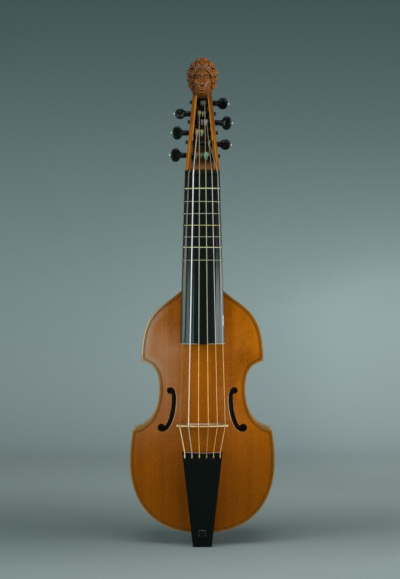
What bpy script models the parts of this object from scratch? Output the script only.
"""Pardessus de viole: a six-string bowed viol with tied frets and a carved head.

Lengths are in metres. The instrument stands upright: +Z runs up the neck, the front looks
along -Y and the treble side is +X. The origin is the middle of the tailpiece's lower end.
"""
import math
from collections import namedtuple

import bmesh
import bpy
from mathutils import Matrix, Vector

# Clearances between pieces
GAP = 0.0003
STRING_SEAT_GAP = 0.00045
WINDING_SELF_GAP = 0.00055
STRING_TO_WINDING = 0.0034
STRING_EDGE_GAP = 0.0004
STRING_IN_HOLE = 0.0030
STRING_BEND = 0.0013

# Where the body stands behind and above the tailpiece's lower end
TAIL_OVERHANG = 0.0148
TAIL_END_LIFT = 0.0135

# Body outline, heights measured from the body's lowest point
BODY_LENGTH = 0.3050
LOWER_BOUT_WIDTH = 0.1828
LOWER_BOUT_HEIGHT = 0.0900
LOWER_CORNER_WIDTH = 0.1764
LOWER_CORNER_HEIGHT = 0.1294
WAIST_WIDTH = 0.1084
WAIST_HEIGHT = 0.1830
UPPER_CORNER_WIDTH = 0.1540
UPPER_CORNER_HEIGHT = 0.2169
SHOULDER_END_WIDTH = 0.0540
LOWER_BOUT_ANGLE = 97.0
LOWER_CORNER_ANGLE = 170.0
UPPER_CORNER_ANGLE = 18.0
SHOULDER_ANGLE = 138.8

# How full each stretch of the outline is: the reach of its two handles, as shares of its rise
FOOT_FULLNESS = (0.798, 0.456)
LOWER_BOUT_FULLNESS = (0.301, 0.602)
LOWER_WAIST_FULLNESS = (0.588, 0.248)
UPPER_WAIST_FULLNESS = (0.860, 0.224)
SHOULDER_FULLNESS = (0.729, 0.388)

# Plates and ribs
EDGE_THICKNESS = 0.0034
ARCH_HEIGHT = 0.0115
ARCH_RUN_IN = 0.085
BACK_THICKNESS = 0.0030
EDGE_OVERHANG = 0.0024
RIB_THICKNESS = 0.0016
RIB_DEPTH = 0.0440
RIB_DEPTH_AT_NECK = 0.0300
BACK_FOLD_HEIGHT = 0.2250

# Sound holes, placed by their two round ends: the upper one from the waist, the lower one from it
HOLE_TOP_FROM_EDGE = 0.0137
HOLE_TOP_BELOW_WAIST = 0.0033
HOLE_TOP_RADIUS = 0.0042
HOLE_SPLAY = 0.0108
HOLE_DROP = 0.0466
HOLE_FOOT_RADIUS = 0.0050
HOLE_SLOT_WIDTH = 0.0066
HOLE_SLOT_TIP_WIDTH = 0.0046
HOLE_TOP_REACH = 0.0102
HOLE_FOOT_REACH = 0.0147
HOLE_SWELL = 0.0023
HOLE_SLOT_STEPS = 12
HOLE_END_SIDES = 16

# Inside the body
END_BLOCK_WIDTH = 0.0420
END_BLOCK_DEPTH = 0.0170
CORNER_BLOCK_LEG = 0.0150
BASS_BAR_X = -0.0185
BASS_BAR_WIDTH = 0.0055
BASS_BAR_DEPTH = 0.0080
BASS_BAR_TIP_SHARE = 0.35
BASS_BAR_FOOT_HEIGHT = 0.0530
BASS_BAR_BELOW_TOP_BLOCK = 0.0150
BASS_BAR_STATIONS = 12
SOUNDPOST_X = 0.0190
SOUNDPOST_DIAMETER = 0.0060
SOUNDPOST_BELOW_BRIDGE = 0.0080
SOUNDPOST_SIDES = 16
BRACE_WIDTH = 0.0120
BRACE_THICKNESS = 0.0045
LOWER_BRACE_HEIGHT = 0.0780
UPPER_BRACE_HEIGHT = 0.2060
BRACE_TO_RIB = 0.0020
RIB_STATIONS = {"lower": 26, "middle": 16, "upper": 16}

# Neck, fingerboard and nut
NECK_LENGTH = 0.1460
NECK_RISE_AT_BODY = 0.0190
NECK_RISE_AT_NUT = 0.0105
NECK_DEPTH_AT_BODY = 0.0180
NECK_DEPTH_AT_NUT = 0.0145
HEEL_LENGTH = 0.0240
HEEL_SWEEP = 2.2
HEEL_SQUARENESS = 3.4
HEEL_STEPS = 7
NECK_SQUARENESS = 2.4
NECK_STEPS = 4
CROWN_POINTS = 11
FINGERBOARD_LENGTH = 0.2120
FINGERBOARD_WIDTH_AT_NUT = 0.0438
FINGERBOARD_WIDTH_AT_END = 0.0554
FINGERBOARD_CROWN_AT_NUT = 0.0065
FINGERBOARD_CROWN_AT_END = 0.0105
FINGERBOARD_RADIUS_AT_NUT = 0.0750
FINGERBOARD_RADIUS_AT_END = 0.0600
NUT_THICKNESS = 0.0040
NUT_ABOVE_FINGERBOARD = 0.0016
STRING_ABOVE_FINGERBOARD_END = 0.0044

# The nut's crest along its thickness: share of the thickness and fall below the highest line
NUT_PROFILE = ((0.0, 0.0002), (0.3, 0.0), (0.65, 0.0011), (0.98, 0.0026))
NUT_LEAST_HEIGHT = 0.0004
NUT_CREST_SHARE = 0.3

# Tied frets, and how far each stands below its place on the equal-tempered scale
FRET_COUNT = 7
FRET_GUT_FIRST = 0.0011
FRET_GUT_LAST = 0.0007
FRET_PUSHED_DOWN = (0.0006, 0.0006, 0.0001, 0.0, 0.0005, 0.0005, 0.0041)

# Pegbox
PEGBOX_LENGTH = 0.0962
PEGBOX_STEP_IN = 0.0003
PEGBOX_WIDTH_AT_TOP = 0.0245
PEGBOX_DEPTH_AT_TOP = 0.0184
PEGBOX_FRONT_DROP = 0.0030
PEGBOX_LEAN = 0.0117
PEGBOX_BELLY = 0.0050
PEGBOX_BELLY_IN_FRONT = 0.0020
PEGBOX_DROP_LENGTH = 0.0012
PEGBOX_STEPS = 10
NUT_END_SQUARENESS = 2.8
PEGBOX_FOOT_SQUARENESS = 3.2
PEGBOX_SQUARENESS = 7.0
CHEEK_THICKNESS = 0.0056
PEGBOX_FLOOR = 0.0050
TROUGH_FOOT = 0.0025
TROUGH_FOOT_DEPTH = 0.0040
TROUGH_CORNER = 0.0010
TROUGH_RAMP = 0.0150
TROUGH_TOP_WALL = 0.0028
RELIEF_WIDTH = 0.0022
RELIEF_DEPTH = 0.0030
RELIEF_FOOT = 0.0026
RELIEF_LENGTH = 0.0380
RELIEF_OVERCUT = 0.0020

# Carved head
HEAD_WIDTH = 0.0392
HEAD_HEIGHT = 0.0492
HEAD_DEPTH = 0.0430
HEAD_MIDDLE_SHARE = 0.47
HEAD_FORWARD = 0.0030
HEAD_SEAT_SHARE = 0.98
HEAD_COLUMNS = 30
HEAD_ROWS = 15
HEAD_LOWEST_PITCH = -62.0
HEAD_HIGHEST_PITCH = 80.0
HAIR_SWELL = 0.045
CURL_DEPTH = 0.050
CURLS_ROUND = 7
CURLS_UP = 5.5
CURL_SHIFT = 1.3
FACE_SINK = 0.10

# The face: aim (across, forward, up), spread and height of each feature; one whose aim is
# off the middle stands on both sides
FACE_FEATURES = {
    "nose": ((0.0, -0.985, -0.17), 0.17, 0.20),
    "root of the nose": ((0.0, -0.99, 0.05), 0.13, 0.09),
    "lips": ((0.0, -0.86, -0.50), 0.16, 0.07),
    "chin": ((0.0, -0.70, -0.71), 0.20, 0.10),
    "eye socket": ((0.32, -0.94, 0.10), 0.15, -0.06),
    "brow": ((0.28, -0.92, 0.27), 0.18, 0.03),
    "cheek": ((0.48, -0.84, -0.25), 0.26, 0.04),
}

# Pegs
PEG_SHAFT_AT_HEAD = 0.0062
PEG_SHAFT_AT_TIP = 0.0048
PEG_STEM_DIAMETER = 0.0070
PEG_STEM_FROM_CHEEK = 0.0010
PEG_TIP_PROUD = 0.0032
PEG_TIP_ROUNDING = 0.0008
PEG_TIP_SHARE = 0.72
PEG_STAND_OFF = 0.0070
PEG_COLLAR_DIAMETER = 0.0083
PEG_COLLAR_WIDTH = 0.0012
PEG_HEAD_LENGTH = 0.0120
PEG_HEAD_HEIGHT = 0.0176
PEG_HEAD_THICKNESS = 0.0078
PEG_BEHIND_MIDDLE = 0.0005
PEG_SIDES = 10
PEG_HOLE_SIDES = 16
PIP_DIAMETER = 0.0028
PIP_LENGTH = 0.0018
PIP_SEAT_DIAMETER = 0.0036
PIP_SIDES = 8

# The peg's head: place along its length, height and thickness as shares of the full sizes
PEG_HEAD_PROFILE = ((0.06, 0.56, 0.84), (0.16, 0.80, 0.92), (0.34, 0.96, 0.98), (0.54, 1.00, 1.00),
                    (0.74, 0.92, 0.94), (0.90, 0.66, 0.74))
PIP_PROFILE = ((0.0, 0.9), (0.45, 1.0), (0.8, 0.78), (1.0, 0.4))

# Bridge
BRIDGE_LINE_HEIGHT = 0.1392
BRIDGE_TOP_WIDTH = 0.0636
BRIDGE_FOOT_SPREAD = 0.0574
BRIDGE_FOOT_LENGTH = 0.0150
BRIDGE_TOP_RADIUS = 0.0600
BRIDGE_TOP_THICKNESS = 0.0014
BRIDGE_FOOT_THICKNESS = 0.0048
BRIDGE_CREST_DEPTH = 0.0028
BRIDGE_CHAMFER = 0.0004

# The bridge's flank and the arch between its feet: share of the half spread and of the height
BRIDGE_FLANK = ((1.02, 0.50), (0.874, 0.40), (0.93, 0.27), (0.97, 0.14), (1.00, 0.05))
BRIDGE_INNER_FOOT_SHARE = 0.08
BRIDGE_ARCH = ((0.72, 0.20), (0.36, 0.27), (0.0, 0.29))

# The bridge's cut-outs: place along its width, share of its height, half width and half height
BRIDGE_WINDOWS = {"middle": (0.0, 0.55, 0.0062, 0.0050), "bass": (-0.0150, 0.60, 0.0050, 0.0034),
                  "treble": (0.0150, 0.60, 0.0050, 0.0034)}
WINDOW_SIDES = 14

# Tailpiece and hook bar
TAILPIECE_LENGTH = 0.1210
TAILPIECE_TOP_WIDTH = 0.0500
TAILPIECE_END_WIDTH = 0.0236
TAILPIECE_TOP_THICKNESS = 0.0062
TAILPIECE_END_THICKNESS = 0.0046
TAILPIECE_TOP_LIFT = 0.0345
TAILPIECE_CROWN = 0.0022
TAIL_SLOT_WIDTH = 0.0094
TAIL_SLOT_FOOT = 0.0118
TAIL_SLOT_HEIGHT = 0.0102
TAIL_STRING_HOLE = 0.0024
TAIL_HOLE_SIDES = 10
TAIL_SHARES = (0.0, 0.33, 0.66, 1.0)
TAIL_HOLE_BELOW_EDGE = 0.0070
HOOK_BAR_THICKNESS = 0.0082
HOOK_BAR_FOOT_CHAMFER = 0.0030
HOOK_BAR_FRONT_CHAMFER = 0.0020
HOOK_BAR_REAR_CHAMFER = 0.0060

# Strings, from the bass side to the treble side
STRING_DIAMETERS = (0.00125, 0.00110, 0.00095, 0.00080, 0.00065, 0.00055)
NUT_STATIONS = (-0.77, -0.51, -0.16, 0.20, 0.55, 0.88)
BRIDGE_STATIONS = (-0.88, -0.535, -0.15, 0.23, 0.58, 0.886)
TAIL_STATIONS = (-0.87, -0.515, -0.15, 0.21, 0.55, 0.88)
WINDING_LOOPS = 2.5
LOOP_POINTS = 24

Peg = namedtuple("Peg", "name side share stand_off slope turn string station")

# share: height on the pegbox; stand_off: of PEG_STAND_OFF; slope and turn in degrees;
# station: where the string is wound, as a share of the trough's half width
PEGS = (
    Peg("bass_1", -1, share=0.213, stand_off=1.19, slope=-1.5, turn=0.0, string=0, station=-0.55),
    Peg("bass_2", -1, share=0.5195, stand_off=1.31, slope=0.0, turn=8.0, string=1, station=-0.60),
    Peg("bass_3", -1, share=0.7725, stand_off=1.13, slope=0.0, turn=42.0, string=2, station=-0.45),
    Peg("treble_3", 1, share=0.921, stand_off=1.03, slope=2.6, turn=48.0, string=3, station=0.42),
    Peg("treble_2", 1, share=0.661, stand_off=1.36, slope=1.9, turn=6.0, string=4, station=0.56),
    Peg("treble_1", 1, share=0.382, stand_off=0.76, slope=3.6, turn=55.0, string=5, station=0.70),
)

# Heights and depths that follow from the sizes above
RIB_FRONT_Y = TAIL_END_LIFT
BELLY_EDGE_Y = RIB_FRONT_Y - EDGE_THICKNESS
BODY_FOOT_Z = TAIL_OVERHANG
BODY_TOP_Z = BODY_FOOT_Z + BODY_LENGTH
NUT_FOOT_Z = BODY_TOP_Z + NECK_LENGTH
PEGBOX_FOOT_Z = NUT_FOOT_Z + NUT_THICKNESS
PEGBOX_TOP_Z = PEGBOX_FOOT_Z + PEGBOX_LENGTH
FINGERBOARD_FOOT_Z = NUT_FOOT_Z - FINGERBOARD_LENGTH
BRIDGE_Z = BODY_FOOT_Z + BRIDGE_LINE_HEIGHT
STRING_LENGTH = NUT_FOOT_Z - BRIDGE_Z
HOLE_TOP_X = WAIST_WIDTH / 2 - HOLE_TOP_FROM_EDGE
HOLE_TOP_HEIGHT = WAIST_HEIGHT - HOLE_TOP_BELOW_WAIST
HOLE_FOOT_X = HOLE_TOP_X + HOLE_SPLAY
HOLE_FOOT_HEIGHT = HOLE_TOP_HEIGHT - HOLE_DROP
TOP_BLOCK_HEIGHT = BODY_LENGTH - END_BLOCK_DEPTH

# Long enough to reach past the piece that a line or a cutter is meant to pass
REACH_PAST = 0.010
LINE_REACH = 0.050


def remove_scene_objects():
    for scene_object in list(bpy.data.objects):
        bpy.data.objects.remove(scene_object, do_unlink=True)


def make_material(name, colour, roughness, metallic=0.0):
    """A plain finish: colour in linear RGB, roughness and metallic value."""
    material = bpy.data.materials.new(name)
    material.use_nodes = True
    shader = material.node_tree.nodes["Principled BSDF"]
    shader.inputs["Base Color"].default_value = (*colour, 1.0)
    shader.inputs["Roughness"].default_value = roughness
    shader.inputs["Metallic"].default_value = metallic
    return material


def make_object(name, vertices, faces, material, smooth_angle=35.0):
    """A mesh object with its faces turned outwards and its round sides shaded smooth."""
    mesh = bpy.data.meshes.new(name)
    mesh.from_pydata([tuple(vertex) for vertex in vertices], [], faces)
    work = bmesh.new()
    work.from_mesh(mesh)
    bmesh.ops.recalc_face_normals(work, faces=work.faces)
    work.to_mesh(mesh)
    work.free()
    mesh.shade_smooth()
    mesh.set_sharp_from_angle(angle=math.radians(smooth_angle))
    mesh.materials.append(material)
    made = bpy.data.objects.new(name, mesh)
    bpy.context.scene.collection.objects.link(made)
    return made


def loft(name, rings, material, smooth_angle=35.0):
    """A closed solid through rings of equally many points, capped at both ends."""
    count = len(rings[0])
    vertices = [point for ring in rings for point in ring]
    faces = []
    for level in range(len(rings) - 1):
        start = level * count
        for index in range(count):
            following = (index + 1) % count
            faces.append((start + index, start + following,
                          start + count + following, start + count + index))
    faces.append(tuple(range(count)))
    last = (len(rings) - 1) * count
    faces.append(tuple(range(last, last + count)))
    return make_object(name, vertices, faces, material, smooth_angle)


def make_empty(name, matrix):
    """A marker on a joint's axis that carries the pieces which turn together."""
    empty = bpy.data.objects.new(name, None)
    empty.empty_display_size = 0.01
    empty.matrix_world = matrix
    bpy.context.scene.collection.objects.link(empty)
    return empty


def cut(piece, cutter):
    """Cut the piece by a solid that is itself left out of the model."""
    cutter.hide_render = True
    cutter.display_type = "WIRE"
    modifier = piece.modifiers.new("cut_" + cutter.name, "BOOLEAN")
    modifier.operation = "DIFFERENCE"
    modifier.solver = "EXACT"
    modifier.object = cutter


def tube(name, points, diameter, material, closed=False, resolution=2):
    """A cord along the points, as a round tube with filled ends."""
    curve = bpy.data.curves.new(name, "CURVE")
    curve.dimensions = "3D"
    curve.resolution_u = 1
    curve.render_resolution_u = 0
    curve.bevel_depth = diameter / 2
    curve.bevel_resolution = resolution
    curve.use_fill_caps = not closed
    spline = curve.splines.new("POLY")
    spline.points.add(len(points) - 1)
    for target, point in zip(spline.points, points):
        target.co = (*point, 1.0)
    spline.use_cyclic_u = closed
    curve.materials.append(material)
    made = bpy.data.objects.new(name, curve)
    bpy.context.scene.collection.objects.link(made)
    return made


def ease(share):
    """0 to 1 with level ends."""
    share = min(max(share, 0.0), 1.0)
    return share * share * (3 - 2 * share)


def between(low, high, share):
    return low + (high - low) * share


def arc_drop(offset, radius):
    """How far a crown of this radius falls at a distance from its middle."""
    return radius - math.sqrt(radius * radius - offset * offset)


# The body's outline

# Places across a plate, as shares of its half width
PLATE_STATIONS = (-1.0, -0.955, -0.87, -0.76, -0.62, -0.47, -0.315, -0.16, 0.0,
                  0.16, 0.315, 0.47, 0.62, 0.76, 0.87, 0.955, 1.0)


def bezier(start, start_handle, end_handle, end, steps):
    """Points along a cubic curve with its direction at each point."""
    samples = []
    for step in range(steps + 1):
        share = step / steps
        rest = 1 - share
        point = (start * rest ** 3 + start_handle * (3 * rest * rest * share)
                 + end_handle * (3 * rest * share * share) + end * share ** 3)
        heading = ((start_handle - start) * (3 * rest * rest)
                   + (end_handle - start_handle) * (6 * rest * share)
                   + (end - end_handle) * (3 * share * share))
        samples.append((point, heading.normalized()))
    return samples


def curve_between(start, start_angle, end, end_angle, fullness, steps):
    """A cubic curve whose handles are shares of the rise between its ends."""
    rise = end.y - start.y
    leave = Vector((math.cos(math.radians(start_angle)), math.sin(math.radians(start_angle))))
    arrive = Vector((math.cos(math.radians(end_angle)), math.sin(math.radians(end_angle))))
    return bezier(start, start + leave * (fullness[0] * rise),
                  end - arrive * (fullness[1] * rise), end, steps)


def outline_bouts():
    """The right half of the outline as three runs, from the foot up to the neck.

    Points are (half width, height above the body's foot).
    """
    foot = Vector((0.0, 0.0))
    lower_widest = Vector((LOWER_BOUT_WIDTH / 2, LOWER_BOUT_HEIGHT))
    lower_corner = Vector((LOWER_CORNER_WIDTH / 2, LOWER_CORNER_HEIGHT))
    waist = Vector((WAIST_WIDTH / 2, WAIST_HEIGHT))
    upper_corner = Vector((UPPER_CORNER_WIDTH / 2, UPPER_CORNER_HEIGHT))
    shoulder_end = Vector((SHOULDER_END_WIDTH / 2, BODY_LENGTH))
    lower = curve_between(foot, 0, lower_widest, 90, FOOT_FULLNESS, 12)
    lower += curve_between(lower_widest, 90, lower_corner, LOWER_BOUT_ANGLE, LOWER_BOUT_FULLNESS, 4)[1:]
    middle = curve_between(lower_corner, LOWER_CORNER_ANGLE, waist, 90, LOWER_WAIST_FULLNESS, 7)
    middle += curve_between(waist, 90, upper_corner, UPPER_CORNER_ANGLE, UPPER_WAIST_FULLNESS, 6)[1:]
    upper = curve_between(upper_corner, 90, shoulder_end, SHOULDER_ANGLE, SHOULDER_FULLNESS, 11)
    return lower, middle, upper


def offset_run(run, distance):
    """The run moved towards the inside of the body."""
    return [point + Vector((-heading.y, heading.x)) * distance for point, heading in run]


def crossing(first_start, first_end, second_start, second_end):
    """Where two straight stretches cross, or None."""
    along = first_end - first_start
    across = second_end - second_start
    turn = along.x * across.y - along.y * across.x
    if abs(turn) < 1e-12:
        return None
    apart = second_start - first_start
    share = (apart.x * across.y - apart.y * across.x) / turn
    other = (apart.x * along.y - apart.y * along.x) / turn
    if -1e-9 <= share <= 1 + 1e-9 and -1e-9 <= other <= 1 + 1e-9:
        return first_start + along * share
    return None


def trim_end(path, blade):
    """The path up to the first place where it meets the blade."""
    kept = [path[0]]
    for index in range(len(path) - 1):
        for step in range(len(blade) - 1):
            meeting = crossing(path[index], path[index + 1], blade[step], blade[step + 1])
            if meeting is not None:
                kept.append(meeting)
                return kept
        kept.append(path[index + 1])
    return kept


def trim_start(path, blade):
    return trim_end(path[::-1], blade)[::-1]


def lengthen(path, distance):
    """The path with a straight stretch added at both ends."""
    head = path[0] + (path[0] - path[1]).normalized() * distance
    tail = path[-1] + (path[-1] - path[-2]).normalized() * distance
    return [head] + path + [tail]


def resample(path, count):
    """Equally many points on every path, spread evenly along its length."""
    lengths = [0.0]
    for start, end in zip(path, path[1:]):
        lengths.append(lengths[-1] + (end - start).length)
    points = []
    step = 0
    for index in range(count):
        goal = lengths[-1] * index / (count - 1)
        while step < len(path) - 2 and lengths[step + 1] < goal:
            step += 1
        share = (goal - lengths[step]) / (lengths[step + 1] - lengths[step])
        points.append(path[step].lerp(path[step + 1], min(max(share, 0.0), 1.0)))
    return points


LOWER_RUN, MIDDLE_RUN, UPPER_RUN = outline_bouts()
OUTLINE = ([point for point, heading in LOWER_RUN] + [point for point, heading in MIDDLE_RUN[1:]]
           + [point for point, heading in UPPER_RUN[1:]])


def half_width(height):
    """Half the body's width at a height above its foot."""
    for low, high in zip(OUTLINE, OUTLINE[1:]):
        if low.y <= height <= high.y:
            share = (height - low.y) / max(high.y - low.y, 1e-9)
            return between(low.x, high.x, share)
    return OUTLINE[-1].x


def cross_arch(across):
    """The arch's share of its full height, straight between the plate's stations."""
    across = min(abs(across), 1.0)
    for low, high in zip(PLATE_STATIONS, PLATE_STATIONS[1:]):
        if low <= across <= high:
            share = (across - low) / (high - low)
            return between(0.5 * (1 + math.cos(math.pi * low)), 0.5 * (1 + math.cos(math.pi * high)), share)
    return 0.0


def arch(across, height):
    """How far the belly swells forward of its edge; across runs from -1 to 1."""
    lengthwise = ease(height / ARCH_RUN_IN) * ease((BODY_LENGTH - height) / ARCH_RUN_IN)
    return ARCH_HEIGHT * lengthwise * cross_arch(across)


def belly_front_y(x, z):
    height = z - BODY_FOOT_Z
    return BELLY_EDGE_Y - arch(x / half_width(height), height)


def back_inner_y(z):
    """The inner face of the back: level below the fold, then rising towards the neck."""
    height = z - BODY_FOOT_Z
    share = max(0.0, (height - BACK_FOLD_HEIGHT) / (BODY_LENGTH - BACK_FOLD_HEIGHT))
    return RIB_FRONT_Y + between(RIB_DEPTH, RIB_DEPTH_AT_NECK, share)


# Plates

def plate(name, stations, outer_y, inner_y, heights, material):
    """A plate filled row by row between its two edges, with an outer and an inner face."""
    count = len(stations)
    vertices = [Vector((0, outer_y(0.0, 0.0), BODY_FOOT_Z)), Vector((0, inner_y(0.0, 0.0), BODY_FOOT_Z))]
    for half, height in heights:
        for face_y in (outer_y, inner_y):
            for across in stations:
                vertices.append(Vector((across * half, face_y(across, height), BODY_FOOT_Z + height)))
    faces = []

    def vertex(row, inner, station):
        return 2 + row * 2 * count + inner * count + station

    for station in range(count - 1):
        faces.append((0, vertex(0, 0, station), vertex(0, 0, station + 1)))
        faces.append((1, vertex(0, 1, station + 1), vertex(0, 1, station)))
    faces.append((0, 1, vertex(0, 1, 0), vertex(0, 0, 0)))
    faces.append((1, 0, vertex(0, 0, count - 1), vertex(0, 1, count - 1)))
    last = len(heights) - 1
    for row in range(last):
        for station in range(count - 1):
            for inner in (0, 1):
                faces.append((vertex(row, inner, station), vertex(row, inner, station + 1),
                              vertex(row + 1, inner, station + 1), vertex(row + 1, inner, station)))
        for station in (0, count - 1):
            faces.append((vertex(row, 0, station), vertex(row + 1, 0, station),
                          vertex(row + 1, 1, station), vertex(row, 1, station)))
    for station in range(count - 1):
        faces.append((vertex(last, 0, station), vertex(last, 0, station + 1),
                      vertex(last, 1, station + 1), vertex(last, 1, station)))
    return make_object(name, vertices, faces, material, 25.0)


def make_belly(material):
    rows = [(point.x, point.y) for point in OUTLINE[1:]]

    def outer_y(across, height):
        return BELLY_EDGE_Y - arch(across, height)

    def inner_y(across, height):
        return outer_y(across, height) + EDGE_THICKNESS

    belly = plate("belly", PLATE_STATIONS, outer_y, inner_y, rows, material)
    for side in (-1, 1):
        cut_sound_hole(belly, side, material)
    return belly


def hole_middle_line():
    """The middle of the curved slot, whose outer edge runs into both round ends."""
    top = Vector((HOLE_TOP_X, HOLE_TOP_HEIGHT + HOLE_TOP_RADIUS - HOLE_SLOT_TIP_WIDTH / 2))
    foot = Vector((HOLE_FOOT_X, HOLE_FOOT_HEIGHT - HOLE_FOOT_RADIUS + HOLE_SLOT_TIP_WIDTH / 2))
    return bezier(top, top + Vector((-HOLE_TOP_REACH, HOLE_SWELL)),
                  foot + Vector((-HOLE_FOOT_REACH, -HOLE_SWELL)), foot, HOLE_SLOT_STEPS)


def prism_in_y(name, outline, low_y, high_y, material):
    """A straight solid over an (x, z) outline."""
    rings = [[Vector((x, y, z)) for x, z in outline] for y in (low_y, high_y)]
    return loft(name, rings, material)


def cut_sound_hole(belly, side, material):
    front_y = BELLY_EDGE_Y - ARCH_HEIGHT - REACH_PAST
    rear_y = RIB_FRONT_Y + REACH_PAST
    label = "bass" if side < 0 else "treble"
    left_edge = []
    right_edge = []
    middle = hole_middle_line()
    for index, (point, heading) in enumerate(middle):
        share = index / (len(middle) - 1)
        half = between(HOLE_SLOT_TIP_WIDTH, HOLE_SLOT_WIDTH, math.sin(math.pi * share)) / 2
        normal = Vector((-heading.y, heading.x))
        left_edge.append(point + normal * half)
        right_edge.append(point - normal * half)
    slot = [(side * p.x, BODY_FOOT_Z + p.y) for p in left_edge + right_edge[::-1]]
    cut(belly, prism_in_y("slot_cutter_" + label, slot, front_y, rear_y, material))
    for name, x, height, radius in (("top", HOLE_TOP_X, HOLE_TOP_HEIGHT, HOLE_TOP_RADIUS),
                                    ("foot", HOLE_FOOT_X, HOLE_FOOT_HEIGHT, HOLE_FOOT_RADIUS)):
        circle = []
        for step in range(HOLE_END_SIDES):
            angle = math.tau * (step + 0.5) / HOLE_END_SIDES
            circle.append((side * x + radius * math.cos(angle),
                           BODY_FOOT_Z + height + radius * math.sin(angle)))
        cut(belly, prism_in_y("eye_cutter_" + name + "_" + label, circle, front_y, rear_y, material))


def make_back(material):
    rows = [(point.x, point.y) for point in OUTLINE[1:] if abs(point.y - BACK_FOLD_HEIGHT) > GAP]
    rows.append((half_width(BACK_FOLD_HEIGHT), BACK_FOLD_HEIGHT))
    rows.sort(key=lambda row: row[1])

    def inner_y(across, height):
        return back_inner_y(BODY_FOOT_Z + height)

    def outer_y(across, height):
        return inner_y(across, height) + BACK_THICKNESS

    return plate("back", (-1.0, 1.0), outer_y, inner_y, rows, material)


# Ribs and blocks

def rib_paths():
    """Outer and inner face lines of the three ribs on the treble side, mitred and butted."""
    reach = EDGE_OVERHANG + RIB_THICKNESS + REACH_PAST / 2
    lines = {}
    for name, run in (("lower", LOWER_RUN), ("middle", MIDDLE_RUN), ("upper", UPPER_RUN)):
        for face, distance in (("outer", EDGE_OVERHANG), ("inner", EDGE_OVERHANG + RIB_THICKNESS),
                               ("seat", EDGE_OVERHANG + RIB_THICKNESS + GAP)):
            lines[name, face] = lengthen(offset_run(run, distance), reach)
    centre = [Vector((GAP / 2, -LINE_REACH)), Vector((GAP / 2, LINE_REACH))]
    top = [Vector((0.0, BODY_LENGTH)), Vector((SHOULDER_END_WIDTH, BODY_LENGTH))]
    paths = {}
    for face in ("outer", "inner"):
        paths["lower", face] = trim_start(trim_end(lines["lower", face], lines["middle", "outer"]), centre)
        paths["middle", face] = trim_start(trim_end(lines["middle", face], lines["upper", "seat"]),
                                           lines["lower", "seat"])
        paths["upper", face] = trim_start(trim_end(lines["upper", face], top), lines["middle", "outer"])
    return lines, paths


RIB_LINES, RIB_PATHS = rib_paths()


def upright_solid(name, outline, material):
    """A block over a closed (x, height) outline, from the belly to the back."""
    fronts = [Vector((p.x, RIB_FRONT_Y + GAP, BODY_FOOT_Z + p.y)) for p in outline]
    backs = [Vector((p.x, back_inner_y(BODY_FOOT_Z + p.y) - GAP, BODY_FOOT_Z + p.y)) for p in outline]
    return loft(name, [fronts, backs], material)


def make_rib(name, run_name, side, material):
    """A bent strip between the plates, built station by station along its run."""
    outer = resample(RIB_PATHS[run_name, "outer"], RIB_STATIONS[run_name])
    inner = resample(RIB_PATHS[run_name, "inner"], RIB_STATIONS[run_name])
    rings = []
    for out, into in zip(outer, inner):
        ring = []
        for point, front in ((out, True), (into, True), (into, False), (out, False)):
            z = BODY_FOOT_Z + point.y
            y = RIB_FRONT_Y + GAP if front else back_inner_y(z) - GAP
            ring.append(Vector((side * point.x, y, z)))
        rings.append(ring)
    return loft(name, rings, material)


def make_ribs(material):
    for side, label in ((-1, "bass"), (1, "treble")):
        for run_name in ("lower", "middle", "upper"):
            make_rib("rib_" + run_name + "_" + label, run_name, side, material)


def walk(path, distance):
    """The first stretch of a path, up to a length along it."""
    kept = [path[0]]
    left = distance
    for start, end in zip(path, path[1:]):
        step = (end - start).length
        if step >= left:
            kept.append(start.lerp(end, left / step))
            return kept
        kept.append(end)
        left -= step
    return kept


def make_corner_blocks(material):
    """Small blocks behind the four points where the ribs meet."""
    lower = trim_end(RIB_LINES["lower", "seat"], RIB_LINES["middle", "seat"])[::-1]
    middle_up = trim_start(RIB_LINES["middle", "seat"], RIB_LINES["lower", "seat"])
    middle_down = trim_end(RIB_LINES["middle", "seat"], RIB_LINES["upper", "seat"])[::-1]
    upper = trim_start(RIB_LINES["upper", "seat"], RIB_LINES["middle", "seat"])
    for level, first, second in (("lower", lower, middle_up), ("upper", upper, middle_down)):
        legs = walk(first, CORNER_BLOCK_LEG)[::-1] + walk(second, CORNER_BLOCK_LEG)[1:]
        for side, label in ((-1, "bass"), (1, "treble")):
            outline = [Vector((side * point.x, point.y)) for point in legs]
            upright_solid("corner_block_" + level + "_" + label, outline, material)


def make_end_blocks(material):
    foot_line = trim_start(RIB_LINES["lower", "seat"], [Vector((0, -LINE_REACH)), Vector((0, LINE_REACH))])
    side_wall = [Vector((END_BLOCK_WIDTH / 2, -LINE_REACH)), Vector((END_BLOCK_WIDTH / 2, LINE_REACH))]
    half = trim_end(foot_line, side_wall)
    top = foot_line[0].y + END_BLOCK_DEPTH
    right = half[1:] + [Vector((half[-1].x, top))]
    left = [Vector((-point.x, point.y)) for point in right[::-1]]
    upright_solid("bottom_block", [half[0]] + right + left, material)
    ceiling = [Vector((0, BODY_LENGTH)), Vector((SHOULDER_END_WIDTH, BODY_LENGTH))]
    floor = [Vector((0, TOP_BLOCK_HEIGHT)), Vector((LOWER_BOUT_WIDTH, TOP_BLOCK_HEIGHT))]
    flank = trim_start(trim_end(RIB_LINES["upper", "seat"], ceiling), floor)
    reach = END_BLOCK_WIDTH / 2
    right = [Vector((min(point.x, reach), point.y)) for point in flank]
    outline = [right[0], Vector((reach, right[-1].y))] if right[-1].x >= reach else right
    left = [Vector((-point.x, point.y)) for point in outline[::-1]]
    upright_solid("top_block", outline + left, material)


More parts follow.
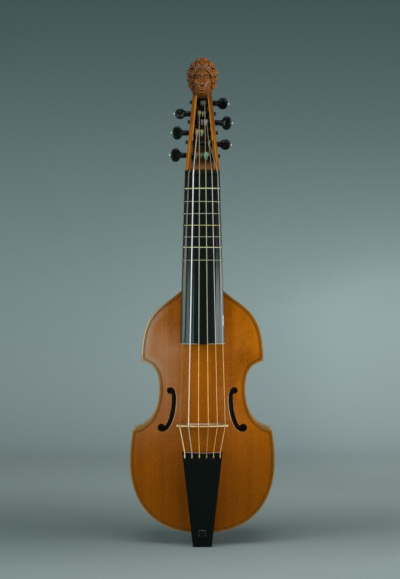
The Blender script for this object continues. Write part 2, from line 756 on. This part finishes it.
def make_bass_bar(material):
    """A tapered bar under the belly's bass side, fitted to the inside of the arch."""
    rings = []
    for index in range(BASS_BAR_STATIONS):
        share = index / (BASS_BAR_STATIONS - 1)
        height = between(BASS_BAR_FOOT_HEIGHT, TOP_BLOCK_HEIGHT - BASS_BAR_BELOW_TOP_BLOCK, share)
        depth = BASS_BAR_DEPTH * between(BASS_BAR_TIP_SHARE, 1.0, math.sin(math.pi * share))
        z = BODY_FOOT_Z + height
        ring = []
        for x, low in ((BASS_BAR_X - BASS_BAR_WIDTH / 2, 0.0), (BASS_BAR_X + BASS_BAR_WIDTH / 2, 0.0),
                       (BASS_BAR_X + BASS_BAR_WIDTH / 2, depth), (BASS_BAR_X - BASS_BAR_WIDTH / 2, depth)):
            seat = max(belly_front_y(BASS_BAR_X - BASS_BAR_WIDTH / 2, z),
                       belly_front_y(BASS_BAR_X + BASS_BAR_WIDTH / 2, z)) + EDGE_THICKNESS + GAP
            ring.append(Vector((x, seat + low, z)))
        rings.append(ring)
    return loft("bass_bar", rings, material)


def make_soundpost(material):
    """A round post from the inside of the belly to the back."""
    z = BRIDGE_Z - SOUNDPOST_BELOW_BRIDGE
    radius = SOUNDPOST_DIAMETER / 2
    front = []
    rear = []
    for step in range(SOUNDPOST_SIDES):
        angle = math.tau * step / SOUNDPOST_SIDES
        x = SOUNDPOST_X + radius * math.cos(angle)
        height = z + radius * math.sin(angle)
        front.append(Vector((x, belly_front_y(x, height) + EDGE_THICKNESS + GAP, height)))
        rear.append(Vector((x, back_inner_y(height) - GAP, height)))
    return loft("soundpost", [front, rear], material)


def make_back_braces(material):
    """Flat bars across the inside of the back, ending short of the ribs."""
    for label, height in (("lower", LOWER_BRACE_HEIGHT), ("upper", UPPER_BRACE_HEIGHT)):
        reach = min(half_width(height - BRACE_WIDTH / 2), half_width(height + BRACE_WIDTH / 2))
        reach -= EDGE_OVERHANG + RIB_THICKNESS + BRACE_TO_RIB
        rings = []
        for x in (-reach, reach):
            ring = []
            for step, depth in ((-1, 0.0), (1, 0.0), (1, BRACE_THICKNESS), (-1, BRACE_THICKNESS)):
                z = BODY_FOOT_Z + height + step * BRACE_WIDTH / 2
                ring.append(Vector((x, back_inner_y(z) - GAP - depth, z)))
            rings.append(ring)
        loft("back_brace_" + label, rings, material)


# Neck, pegbox and head

def neck_share(z):
    """0 at the body, 1 at the nut."""
    return (z - BODY_TOP_Z) / NECK_LENGTH


def glue_plane_y(z):
    """The face on which the fingerboard is glued; it runs on below the neck."""
    return RIB_FRONT_Y - between(NECK_RISE_AT_BODY, NECK_RISE_AT_NUT, neck_share(z))


def board_share(z):
    """0 at the nut, 1 at the fingerboard's lower end."""
    return (NUT_FOOT_Z - z) / FINGERBOARD_LENGTH


def board_half_width(z):
    return between(FINGERBOARD_WIDTH_AT_NUT, FINGERBOARD_WIDTH_AT_END, board_share(z)) / 2


def board_radius(z):
    return between(FINGERBOARD_RADIUS_AT_NUT, FINGERBOARD_RADIUS_AT_END, board_share(z))


def board_top_y(x, z):
    crown = between(FINGERBOARD_CROWN_AT_NUT, FINGERBOARD_CROWN_AT_END, board_share(z))
    return glue_plane_y(z) - GAP - crown + arc_drop(x, board_radius(z))


def neck_back_y(z):
    """The back of the neck, which flows down into the heel at the body."""
    plain = glue_plane_y(z) + between(NECK_DEPTH_AT_BODY, NECK_DEPTH_AT_NUT, neck_share(z))
    heel_back = back_inner_y(BODY_TOP_Z) + BACK_THICKNESS
    share = 1 - min((z - BODY_TOP_Z) / HEEL_LENGTH, 1.0)
    return plain + (heel_back - plain) * share ** HEEL_SWEEP


def pegbox_half_width(z):
    share = (z - PEGBOX_FOOT_Z) / PEGBOX_LENGTH
    return between(FINGERBOARD_WIDTH_AT_NUT / 2 - PEGBOX_STEP_IN, PEGBOX_WIDTH_AT_TOP / 2, share)


def pegbox_front_y(z):
    share = (z - PEGBOX_FOOT_Z) / PEGBOX_LENGTH
    start = glue_plane_y(PEGBOX_FOOT_Z) - PEGBOX_FRONT_DROP
    return start + PEGBOX_LEAN * share + PEGBOX_BELLY_IN_FRONT * math.sin(math.pi * share)


def pegbox_back_y(z):
    share = (z - PEGBOX_FOOT_Z) / PEGBOX_LENGTH
    start = neck_back_y(PEGBOX_FOOT_Z)
    end = pegbox_front_y(PEGBOX_TOP_Z) + PEGBOX_DEPTH_AT_TOP
    return between(start, end, share) + PEGBOX_BELLY * math.sin(math.pi * share)


def section(half, front_y, back_y, z, squareness, count=14):
    """A cross-section, flat in front and rounded behind."""
    ring = []
    for step in range(count):
        angle = math.pi * step / (count - 1)
        across = math.cos(angle)
        deep = math.sin(angle)
        x = half * math.copysign(abs(across) ** (2 / squareness), across)
        y = front_y + (back_y - front_y) * abs(deep) ** (2 / squareness)
        ring.append(Vector((x, y, z)))
    return ring


def make_neck_and_pegbox(material):
    rings = []
    for step in range(HEEL_STEPS + 1):
        z = between(BODY_TOP_Z + GAP, BODY_TOP_Z + HEEL_LENGTH, step / HEEL_STEPS)
        squareness = between(HEEL_SQUARENESS, NECK_SQUARENESS, step / HEEL_STEPS)
        rings.append(section(board_half_width(z), glue_plane_y(z), neck_back_y(z), z, squareness))
    for step in range(1, NECK_STEPS + 1):
        z = between(BODY_TOP_Z + HEEL_LENGTH, NUT_FOOT_Z, step / NECK_STEPS)
        rings.append(section(board_half_width(z), glue_plane_y(z), neck_back_y(z), z, NECK_SQUARENESS))
    rings.append(section(pegbox_half_width(PEGBOX_FOOT_Z), glue_plane_y(PEGBOX_FOOT_Z),
                         pegbox_back_y(PEGBOX_FOOT_Z), PEGBOX_FOOT_Z, NUT_END_SQUARENESS))
    for step in range(PEGBOX_STEPS + 1):
        z = between(PEGBOX_FOOT_Z + PEGBOX_DROP_LENGTH, PEGBOX_TOP_Z, step / PEGBOX_STEPS)
        squareness = between(PEGBOX_FOOT_SQUARENESS, PEGBOX_SQUARENESS, ease(3 * step / PEGBOX_STEPS))
        rings.append(section(pegbox_half_width(z), pegbox_front_y(z), pegbox_back_y(z), z, squareness))
    neck = loft("neck_and_pegbox", rings, material, 40.0)
    cut(neck, make_trough_cutter(material))
    for side in (-1, 1):
        cut(neck, make_relief_cutter(side, material))
    for peg in PEGS:
        cut(neck, make_peg_hole_cutter(peg, material))
    return neck


def trough_half_width(z):
    return pegbox_half_width(z) - CHEEK_THICKNESS


def trough_floor_y(z):
    full = pegbox_back_y(z) - PEGBOX_FLOOR
    share = ease((z - PEGBOX_FOOT_Z) / TROUGH_RAMP)
    return between(pegbox_front_y(z) + TROUGH_FOOT_DEPTH, full, share)


def make_trough_cutter(material):
    """The hollow between the cheeks, open in front, with a floor that ramps up to the nut."""
    rings = []
    for step in range(PEGBOX_STEPS + 1):
        z = between(PEGBOX_FOOT_Z + TROUGH_FOOT, PEGBOX_TOP_Z - TROUGH_TOP_WALL, step / PEGBOX_STEPS)
        half = trough_half_width(z)
        floor = trough_floor_y(z)
        front = pegbox_front_y(z) - REACH_PAST
        rings.append([Vector((-half, front, z)), Vector((half, front, z)),
                      Vector((half, floor - TROUGH_CORNER, z)), Vector((half - TROUGH_CORNER, floor, z)),
                      Vector((-half + TROUGH_CORNER, floor, z)), Vector((-half, floor - TROUGH_CORNER, z))])
    return loft("trough_cutter", rings, material)


def make_relief_cutter(side, material):
    """The step in a cheek's front edge, which clears the outer strings behind the nut."""
    low = PEGBOX_FOOT_Z + RELIEF_FOOT
    high = PEGBOX_FOOT_Z + RELIEF_LENGTH
    rings = []
    for z, slant in ((low, 0.0), (high, 1.0)):
        outer = trough_half_width(z) + RELIEF_WIDTH
        inner = trough_half_width(z) - RELIEF_OVERCUT
        front = pegbox_front_y(z)
        above = front - RELIEF_OVERCUT
        top = z + slant * RELIEF_DEPTH
        rings.append([Vector((side * inner, above, top)), Vector((side * outer, above, z)),
                      Vector((side * outer, front + RELIEF_DEPTH, z)),
                      Vector((side * inner, front + RELIEF_DEPTH, top))])
    return loft("relief_cutter_" + ("bass" if side < 0 else "treble"), rings, material)


def peg_height(share):
    return PEGBOX_FOOT_Z + share * PEGBOX_LENGTH


def peg_axis_y(z):
    return (pegbox_front_y(z) + pegbox_back_y(z)) / 2 - PEG_BEHIND_MIDDLE


def peg_frame(peg):
    """A frame on the peg's axis: its X runs from the small end to the head."""
    z = peg_height(peg.share)
    place = Matrix.Translation((0, peg_axis_y(z), z))
    lean = Matrix.Rotation(math.radians(peg.side * peg.slope), 4, "Y")
    face = Matrix.Identity(4) if peg.side > 0 else Matrix.Rotation(math.pi, 4, "Z")
    return place @ lean @ face


def cheek_reach(peg):
    """From the pegbox's middle to the outside of a cheek at the peg."""
    return pegbox_half_width(peg_height(peg.share))


def shaft_radius(x, cheek):
    """The peg's taper between the cheeks; x grows towards the head."""
    share = (x + cheek) / (2 * cheek)
    return between(PEG_SHAFT_AT_TIP, PEG_SHAFT_AT_HEAD, share) / 2


def turned_ring(x, height, thickness, sides):
    ring = []
    for step in range(sides):
        angle = math.tau * (step + 0.5) / sides
        ring.append(Vector((x, thickness / 2 * math.sin(angle), height / 2 * math.cos(angle))))
    return ring


def make_peg_hole_cutter(peg, material):
    """A tapered hole through both cheeks, wider than the shaft by the clearance."""
    cheek = cheek_reach(peg)
    rings = []
    for x in (-cheek - REACH_PAST, cheek + REACH_PAST):
        radius = shaft_radius(x, cheek) + GAP
        rings.append(turned_ring(x, 2 * radius, 2 * radius, PEG_HOLE_SIDES))
    cutter = loft("peg_hole_cutter_" + peg.name, rings, material)
    cutter.matrix_world = peg_frame(peg)
    return cutter


def peg_rings(peg):
    """The peg's sections from its small end, over the shaft and the stem, to its head."""
    cheek = cheek_reach(peg)
    tip = -cheek - PEG_TIP_PROUD
    stem = cheek + PEG_STEM_FROM_CHEEK
    shoulder = cheek + peg.stand_off * PEG_STAND_OFF
    collar = PEG_COLLAR_DIAMETER
    profile = [(tip, PEG_TIP_SHARE * 2 * shaft_radius(tip, cheek)),
               (tip + PEG_TIP_ROUNDING, 2 * shaft_radius(tip + PEG_TIP_ROUNDING, cheek)),
               (stem, 2 * shaft_radius(stem, cheek)), (stem, PEG_STEM_DIAMETER),
               (shoulder - PEG_COLLAR_WIDTH, PEG_STEM_DIAMETER), (shoulder - PEG_COLLAR_WIDTH, collar),
               (shoulder, collar)]
    sections = [(x, size, size) for x, size in profile]
    for share, height, thickness in PEG_HEAD_PROFILE:
        sections.append((shoulder + share * PEG_HEAD_LENGTH, height * PEG_HEAD_HEIGHT,
                         thickness * PEG_HEAD_THICKNESS))
    sections.append((shoulder + PEG_HEAD_LENGTH, PIP_SEAT_DIAMETER, PIP_SEAT_DIAMETER))
    return [turned_ring(x, height, thickness, PEG_SIDES) for x, height, thickness in sections]


def make_peg(peg, peg_material, pip_material, gut_materials):
    """A peg with its pip and its winding, carried by a marker on the peg's axis."""
    axis = make_empty("peg_axis_" + peg.name, peg_frame(peg))
    body = loft("peg_" + peg.name, peg_rings(peg), peg_material, 50.0)
    pip_foot = cheek_reach(peg) + peg.stand_off * PEG_STAND_OFF + PEG_HEAD_LENGTH + GAP
    pip_rings = []
    for step, size in PIP_PROFILE:
        across = size * PIP_DIAMETER
        pip_rings.append(turned_ring(pip_foot + step * PIP_LENGTH, across, across, PIP_SIDES))
    pip = loft("peg_pip_" + peg.name, pip_rings, pip_material, 50.0)
    for piece in (body, pip):
        piece.parent = axis
        piece.matrix_basis = Matrix.Rotation(math.radians(peg.turn), 4, "X")
    winding = tube("string_winding_" + str(peg.string + 1), winding_points(peg),
                   STRING_DIAMETERS[peg.string], gut_materials[peg.string], resolution=1)
    winding.parent = axis


def winding_middle_x(peg):
    """Where along the peg, in its own frame, the winding's middle lies."""
    return peg.side * peg.station * trough_half_width(peg_height(peg.share))


def winding_radius(peg):
    """From the axis to the middle of the wound string."""
    reach = WINDING_LOOPS * winding_pitch(peg.string) / 2
    widest = shaft_radius(winding_middle_x(peg) + reach, cheek_reach(peg))
    return widest + GAP + STRING_DIAMETERS[peg.string] / 2


def winding_pitch(string_index):
    return STRING_DIAMETERS[string_index] + WINDING_SELF_GAP


def winding_points(peg):
    """A helix round the shaft; its front faces -Y where the string arrives."""
    radius = winding_radius(peg)
    pitch = winding_pitch(peg.string)
    middle = winding_middle_x(peg)
    total = round(WINDING_LOOPS * LOOP_POINTS)
    points = []
    for step in range(total + 1):
        angle = math.tau * step / LOOP_POINTS
        x = middle + pitch * (step / LOOP_POINTS - WINDING_LOOPS / 2)
        points.append(Vector((x, radius * math.cos(angle), radius * math.sin(angle))))
    return points


def least_self_gap(points, diameter):
    """The least distance between two loops of one winding, less its thickness."""
    nearest = 1.0
    for first in range(len(points)):
        for second in range(first + LOOP_POINTS // 2, len(points)):
            nearest = min(nearest, (points[first] - points[second]).length)
    return nearest - diameter


# Carved head

def bump(direction, aim, spread):
    """1 in the aimed direction, falling off round it."""
    return math.exp(-((direction - aim).length / spread) ** 2)


def head_point(yaw, pitch):
    """A point of the head's surface; yaw 0 looks out of the front, pitch rises from -90 to 90."""
    direction = Vector((math.sin(yaw) * math.cos(pitch), -math.cos(yaw) * math.cos(pitch),
                        math.sin(pitch)))
    size = 1.0
    face = ease((math.cos(yaw) * math.cos(pitch) - 0.25) / 0.5) * ease((0.80 - math.sin(pitch)) / 0.25)
    hair = 1 - face
    curl = math.cos(CURLS_ROUND * yaw) * math.cos(CURLS_UP * pitch + CURL_SHIFT * math.sin(3 * yaw))
    size += hair * (HAIR_SWELL + CURL_DEPTH * curl * math.cos(pitch)) - FACE_SINK * face
    for (across, forward, up), spread, height in FACE_FEATURES.values():
        for side in ((-1, 1) if across else (1,)):
            size += face * height * bump(direction, Vector((side * across, forward, up)), spread)
    return Vector((direction.x * HEAD_WIDTH / 2, direction.y * HEAD_DEPTH / 2,
                   direction.z * HEAD_HEIGHT / 2)) * (size / (1 + HAIR_SWELL))


def make_carved_head(material):
    """A head with dressed hair, seated on the pegbox's end by its flat neck."""
    collar_y = (pegbox_front_y(PEGBOX_TOP_Z) + pegbox_back_y(PEGBOX_TOP_Z)) / 2
    middle = Vector((0, collar_y - HEAD_FORWARD, PEGBOX_TOP_Z + GAP + HEAD_HEIGHT * HEAD_MIDDLE_SHARE))
    half = HEAD_SEAT_SHARE * PEGBOX_WIDTH_AT_TOP / 2
    depth = HEAD_SEAT_SHARE * PEGBOX_DEPTH_AT_TOP / 2
    yaws = [math.tau * step / HEAD_COLUMNS for step in range(HEAD_COLUMNS)]
    rings = [[Vector((half * math.sin(yaw), collar_y - depth * math.cos(yaw), PEGBOX_TOP_Z + GAP))
              for yaw in yaws]]
    for row in range(HEAD_ROWS):
        pitch = math.radians(between(HEAD_LOWEST_PITCH, HEAD_HIGHEST_PITCH, row / (HEAD_ROWS - 1)))
        rings.append([middle + head_point(yaw, pitch) for yaw in yaws])
    return loft("carved_head", rings, material, 60.0)


# Fingerboard, nut and frets

def make_fingerboard(material):
    rings = []
    for z in (FINGERBOARD_FOOT_Z, NUT_FOOT_Z - GAP):
        half = board_half_width(z)
        under = glue_plane_y(z) - GAP
        ring = [Vector((-half, under, z))]
        for step in range(CROWN_POINTS):
            x = between(-half, half, step / (CROWN_POINTS - 1))
            ring.append(Vector((x, board_top_y(x, z), z)))
        ring.append(Vector((half, under, z)))
        rings.append(ring)
    return loft("fingerboard", rings, material)


def nut_crest_y(x):
    """The nut's highest line, which carries the strings."""
    return board_top_y(x, NUT_FOOT_Z) - NUT_ABOVE_FINGERBOARD


def make_nut(material):
    """A crowned strip whose top falls away towards the pegs."""
    half = board_half_width(NUT_FOOT_Z)
    rings = []
    for share, fall in NUT_PROFILE:
        z = NUT_FOOT_Z + share * NUT_THICKNESS
        under = glue_plane_y(z) - GAP
        ring = [Vector((-half, under, z))]
        for step in range(CROWN_POINTS):
            x = between(-half, half, step / (CROWN_POINTS - 1))
            ring.append(Vector((x, min(nut_crest_y(x) + fall, under - NUT_LEAST_HEIGHT), z)))
        ring.append(Vector((half, under, z)))
        rings.append(ring)
    return loft("nut", rings, material)


def fret_height(number):
    """Near its place on the equal-tempered scale, to which a player can push it."""
    return NUT_FOOT_Z - STRING_LENGTH * (1 - 2 ** (-number / 12)) - FRET_PUSHED_DOWN[number - 1]


def fret_points(number, diameter):
    """A loop of gut round the fingerboard's crown, its sides and the back of the neck."""
    z = fret_height(number)
    half = board_half_width(z)
    outline = []
    for step in range(CROWN_POINTS):
        x = between(-half, half, step / (CROWN_POINTS - 1))
        outline.append(Vector((x, board_top_y(x, z), z)))
    outline += section(half, glue_plane_y(z), neck_back_y(z), z, NECK_SQUARENESS)
    stand = GAP + diameter / 2
    points = []
    for index, point in enumerate(outline):
        before = (point - outline[index - 1]).normalized()
        after = (outline[(index + 1) % len(outline)] - point).normalized()
        first = Vector((before.y, -before.x, 0))
        second = Vector((after.y, -after.x, 0))
        points.append(point + (first + second) * (stand / (1 + first.dot(second))))
    return points


def make_frets(materials):
    for number in range(1, FRET_COUNT + 1):
        share = (number - 1) / max(FRET_COUNT - 1, 1)
        diameter = between(FRET_GUT_FIRST, FRET_GUT_LAST, share)
        z = fret_height(number)
        middle = Vector((0, glue_plane_y(z), z))
        points = [point - middle for point in fret_points(number, diameter)]
        fret = tube("fret_" + str(number), points, diameter, materials[number % 2], closed=True)
        fret.location = middle


# Bridge

def bridge_top_y(x):
    """The bridge's top line, set so that the strings clear the fingerboard's end."""
    nut_y = nut_crest_y(0.0) - STRING_SEAT_GAP
    end_y = board_top_y(0.0, FINGERBOARD_FOOT_Z) - STRING_ABOVE_FINGERBOARD_END
    crest = nut_y + (end_y - nut_y) * STRING_LENGTH / FINGERBOARD_LENGTH + STRING_SEAT_GAP
    return crest + arc_drop(x, BRIDGE_TOP_RADIUS)


def bridge_foot_y(x):
    rear = belly_front_y(x, BRIDGE_Z - BRIDGE_FOOT_THICKNESS / 2)
    near = belly_front_y(x, BRIDGE_Z + BRIDGE_FOOT_THICKNESS / 2)
    return min(rear, near) - GAP


def make_bridge(material):
    """A pierced maple bridge, thinner towards its top, standing on two feet."""
    half_top = BRIDGE_TOP_WIDTH / 2
    half_foot = BRIDGE_FOOT_SPREAD / 2
    crest = bridge_top_y(0.0)
    floor = bridge_foot_y(0.0)
    tall = floor - crest

    def level(share):
        return floor - tall * share

    right = []
    for step in range(7):
        x = half_top * step / 6
        right.append((x, bridge_top_y(x)))
    right.append((half_top - BRIDGE_CHAMFER, bridge_top_y(half_top) + BRIDGE_CREST_DEPTH))
    right += [(half_foot * across, level(share)) for across, share in BRIDGE_FLANK]
    right.append((half_foot, bridge_foot_y(half_foot)))
    inner_foot = half_foot - BRIDGE_FOOT_LENGTH
    for step in range(1, 4):
        x = between(half_foot, inner_foot, step / 3)
        right.append((x, bridge_foot_y(x)))
    right.append((inner_foot + BRIDGE_CHAMFER, level(BRIDGE_INNER_FOOT_SHARE)))
    right += [(inner_foot * across, level(share)) for across, share in BRIDGE_ARCH]
    left = [(-x, y) for x, y in right[-2:0:-1]]
    outline = right + left

    def thickness(y):
        share = min(max((floor - y) / tall, 0.0), 1.0)
        return between(BRIDGE_FOOT_THICKNESS, BRIDGE_TOP_THICKNESS, share)

    rings = [[Vector((x, y, BRIDGE_Z + face * thickness(y) / 2)) for x, y in outline] for face in (-1, 1)]
    bridge = loft("bridge", rings, material)
    for label, (x, share, wide, high) in BRIDGE_WINDOWS.items():
        circle = []
        for step in range(WINDOW_SIDES):
            angle = math.tau * step / WINDOW_SIDES
            circle.append(Vector((x + wide * math.cos(angle), level(share) + high * math.sin(angle), 0)))
        through = [[point + Vector((0, 0, BRIDGE_Z + face * REACH_PAST)) for point in circle]
                   for face in (-1, 1)]
        cut(bridge, loft("bridge_cutter_" + label, through, material))
    return bridge


# Tailpiece and hook bar

def tail_share(z):
    return z / TAILPIECE_LENGTH


def tail_half_width(z):
    return between(TAILPIECE_END_WIDTH, TAILPIECE_TOP_WIDTH, tail_share(z)) / 2


def tail_thickness(z):
    return between(TAILPIECE_END_THICKNESS, TAILPIECE_TOP_THICKNESS, tail_share(z))


def tail_under_y(z):
    """The tailpiece's flat underside; its lower end is centred on the origin."""
    top = RIB_FRONT_Y - TAILPIECE_TOP_LIFT + TAILPIECE_TOP_THICKNESS / 2
    return between(TAILPIECE_END_THICKNESS / 2, top, tail_share(z))


def tail_top_y(x, z):
    fall = TAILPIECE_CROWN * tail_share(z) * (x / tail_half_width(z)) ** 2
    return tail_under_y(z) - tail_thickness(z) + fall


def make_tailpiece(material):
    rings = []
    for share in TAIL_SHARES:
        z = share * TAILPIECE_LENGTH
        half = tail_half_width(z)
        under = tail_under_y(z)
        ring = [Vector((-half, under, z))]
        for step in range(CROWN_POINTS):
            x = between(-half, half, step / (CROWN_POINTS - 1))
            ring.append(Vector((x, tail_top_y(x, z), z)))
        ring.append(Vector((half, under, z)))
        rings.append(ring)
    tailpiece = loft("tailpiece", rings, material)
    slot_top = TAIL_SLOT_FOOT + TAIL_SLOT_HEIGHT
    slot = [(-TAIL_SLOT_WIDTH / 2, TAIL_SLOT_FOOT), (TAIL_SLOT_WIDTH / 2, TAIL_SLOT_FOOT),
            (TAIL_SLOT_WIDTH / 2, slot_top), (-TAIL_SLOT_WIDTH / 2, slot_top)]
    slot_y = tail_under_y(TAIL_SLOT_FOOT)
    cut(tailpiece, prism_in_y("tail_slot_cutter", slot, slot_y - 2 * REACH_PAST,
                              slot_y + REACH_PAST, material))
    for index in range(len(STRING_DIAMETERS)):
        x, z = tail_hole_place(index)
        radius = TAIL_STRING_HOLE / 2
        circle = []
        for step in range(TAIL_HOLE_SIDES):
            angle = math.tau * step / TAIL_HOLE_SIDES
            circle.append((x + radius * math.cos(angle), z + radius * math.sin(angle)))
        middle = tail_under_y(z)
        cut(tailpiece, prism_in_y("string_hole_cutter_" + str(index + 1), circle,
                                  middle - 2 * REACH_PAST, middle + REACH_PAST, material))
    return tailpiece


def tail_string_x(index):
    return TAIL_STATIONS[index] * tail_half_width(TAILPIECE_LENGTH)


def tail_hole_place(index):
    return tail_string_x(index), TAILPIECE_LENGTH - TAIL_HOLE_BELOW_EDGE


def make_hook_bar(material):
    """A bar up the body's lower end, with a hook through the tailpiece's slot."""
    width = TAIL_SLOT_WIDTH - 2 * GAP
    seat_z = BODY_FOOT_Z + EDGE_OVERHANG - GAP
    under_edge_z = BODY_FOOT_Z - GAP
    foot_z = BODY_FOOT_Z - HOOK_BAR_THICKNESS
    slot_low = TAIL_SLOT_FOOT + GAP
    slot_high = TAIL_SLOT_FOOT + TAIL_SLOT_HEIGHT - GAP
    slot_mid = (slot_low + slot_high) / 2
    belly_clear = BELLY_EDGE_Y - GAP
    inside_y = RIB_FRONT_Y + GAP
    rear_y = back_inner_y(BODY_FOOT_Z) - GAP
    tail_back = tail_under_y(slot_mid)
    tail_front = tail_top_y(0.0, slot_mid)
    profile = [
        (rear_y, seat_z), (inside_y, seat_z), (inside_y, under_edge_z), (belly_clear, under_edge_z),
        (belly_clear, slot_high), (tail_front - GAP, slot_high), (tail_front - GAP, slot_low),
        (tail_back + 2 * GAP, slot_low), (belly_clear, foot_z + HOOK_BAR_FRONT_CHAMFER), (inside_y, foot_z),
        (rear_y - HOOK_BAR_REAR_CHAMFER, foot_z), (rear_y, foot_z + HOOK_BAR_FOOT_CHAMFER),
    ]
    rings = [[Vector((x, y, z)) for y, z in profile] for x in (-width / 2, width / 2)]
    return loft("hook_bar", rings, material)


# Strings

def string_point_at_nut(index):
    x = NUT_STATIONS[index] * board_half_width(NUT_FOOT_Z)
    radius = STRING_DIAMETERS[index] / 2
    z = NUT_FOOT_Z + NUT_CREST_SHARE * NUT_THICKNESS
    return Vector((x, nut_crest_y(x) - STRING_SEAT_GAP - radius, z))


def string_point_at_bridge(index):
    x = BRIDGE_STATIONS[index] * BRIDGE_TOP_WIDTH / 2
    radius = STRING_DIAMETERS[index] / 2
    return Vector((x, bridge_top_y(x) - STRING_SEAT_GAP - radius, BRIDGE_Z))


def peg_of_string(index):
    return next(peg for peg in PEGS if peg.string == index)


def winding_tangent_point(index):
    """Where the string comes down on the front of its winding."""
    peg = peg_of_string(index)
    frame = peg_frame(peg)
    middle = frame @ Vector((winding_middle_x(peg), 0, 0))
    return middle + Vector((0, -winding_radius(peg), 0))


def string_points(index):
    """From the hole in the tailpiece, over bridge and nut, to just short of the winding."""
    hole_x, hole_z = tail_hole_place(index)
    stand = STRING_EDGE_GAP + STRING_DIAMETERS[index] / 2
    surface = tail_top_y(hole_x, hole_z)
    edge_x = tail_string_x(index)
    edge = Vector((edge_x, tail_top_y(edge_x, TAILPIECE_LENGTH) - stand, TAILPIECE_LENGTH))
    nut = string_point_at_nut(index)
    run = winding_tangent_point(index) - nut
    end = nut + run * (1 - STRING_TO_WINDING / run.length)
    return [Vector((hole_x, surface + STRING_IN_HOLE, hole_z)), Vector((hole_x, surface, hole_z)),
            Vector((hole_x, surface - stand, hole_z + STRING_BEND)), edge,
            string_point_at_bridge(index), nut, end]


def make_strings(materials):
    for index in range(len(STRING_DIAMETERS)):
        tube("string_" + str(index + 1), string_points(index), STRING_DIAMETERS[index], materials[index])


def report_clearances():
    """Print the sizes that only come out of the geometry."""
    for peg in PEGS:
        gap = least_self_gap(winding_points(peg), STRING_DIAMETERS[peg.string])
        print(f"winding of string {peg.string + 1}: least gap to itself {gap * 1000:.3f} mm")
    print(f"string length {STRING_LENGTH * 1000:.1f} mm")


def main():
    remove_scene_objects()
    spruce = make_material("varnished_spruce", (0.33, 0.10, 0.012), 0.35)
    maple = make_material("varnished_maple", (0.30, 0.085, 0.012), 0.35)
    plain_wood = make_material("unvarnished_wood", (0.55, 0.40, 0.24), 0.7)
    head_wood = make_material("carved_wood", (0.17, 0.05, 0.016), 0.35)
    ebony = make_material("ebony", (0.012, 0.011, 0.012), 0.3)
    bridge_wood = make_material("bridge_maple", (0.60, 0.42, 0.20), 0.5)
    bone = make_material("bone", (0.75, 0.70, 0.58), 0.35)
    fret_gut = make_material("fret_gut", (0.62, 0.52, 0.26), 0.5)
    wound = make_material("wound_string", (0.22, 0.13, 0.07), 0.4, 0.4)
    silvered = make_material("silvered_string", (0.70, 0.70, 0.68), 0.3, 0.8)
    gut = make_material("gut_string", (0.62, 0.45, 0.18), 0.4)
    thin_gut = make_material("thin_gut_string", (0.70, 0.60, 0.38), 0.4)
    string_materials = (wound, silvered, gut, gut, thin_gut, thin_gut)

    make_belly(spruce)
    make_back(maple)
    make_ribs(maple)
    make_end_blocks(plain_wood)
    make_corner_blocks(plain_wood)
    make_bass_bar(plain_wood)
    make_soundpost(plain_wood)
    make_back_braces(plain_wood)
    make_neck_and_pegbox(maple)
    make_carved_head(head_wood)
    make_fingerboard(ebony)
    make_nut(ebony)
    make_frets((fret_gut, thin_gut))
    make_bridge(bridge_wood)
    make_tailpiece(ebony)
    make_hook_bar(maple)
    for peg in PEGS:
        make_peg(peg, ebony, bone, string_materials)
    make_strings(string_materials)
    report_clearances()


main()
